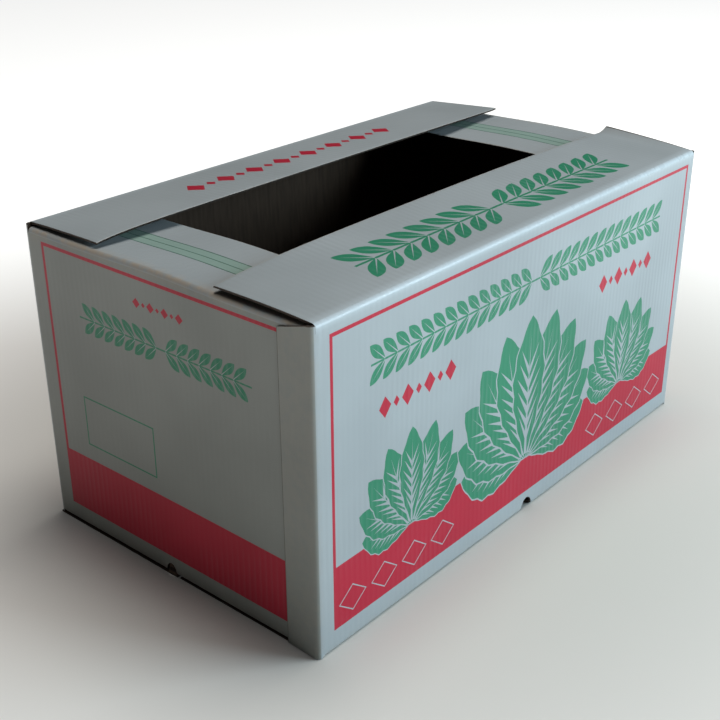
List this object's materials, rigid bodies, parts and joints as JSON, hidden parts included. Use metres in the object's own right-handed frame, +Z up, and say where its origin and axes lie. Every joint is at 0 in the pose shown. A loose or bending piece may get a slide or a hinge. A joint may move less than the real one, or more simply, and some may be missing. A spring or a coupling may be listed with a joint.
{
  "type": "waxed cardboard box",
  "caption": "Slotted corrugated carton of waxed board with short top flaps that leave its mouth open, a glued bottom, a glue lap and drain notches.",
  "frame": {"origin": "centre of the carton's box on the surface that it stands on", "axes": "+X along the long panels, away from the glue lap; the front panel faces -Y; +Z up"},
  "size_m": [0.58, 0.339, 0.301],
  "materials": {
    "waxed_board": "satin"
  },
  "bodies": {
    "carton": {"carton": "waxed_board"},
    "front_flap": {"front_flap": "waxed_board"},
    "rear_flap": {"rear_flap": "waxed_board"}
  },
  "joints": [
    {"name": "front_flap_fold", "type": "hinge", "parent": "carton", "child": "front_flap", "pos_m": [0, -0.1695, 0.292], "axis": [1, 0, 0], "range_deg": [-2.5, 175]},
    {"name": "rear_flap_fold", "type": "hinge", "parent": "carton", "child": "rear_flap", "pos_m": [0, 0.1695, 0.292], "axis": [-1, 0, 0], "range_deg": [-2, 176.4]}
  ]
}
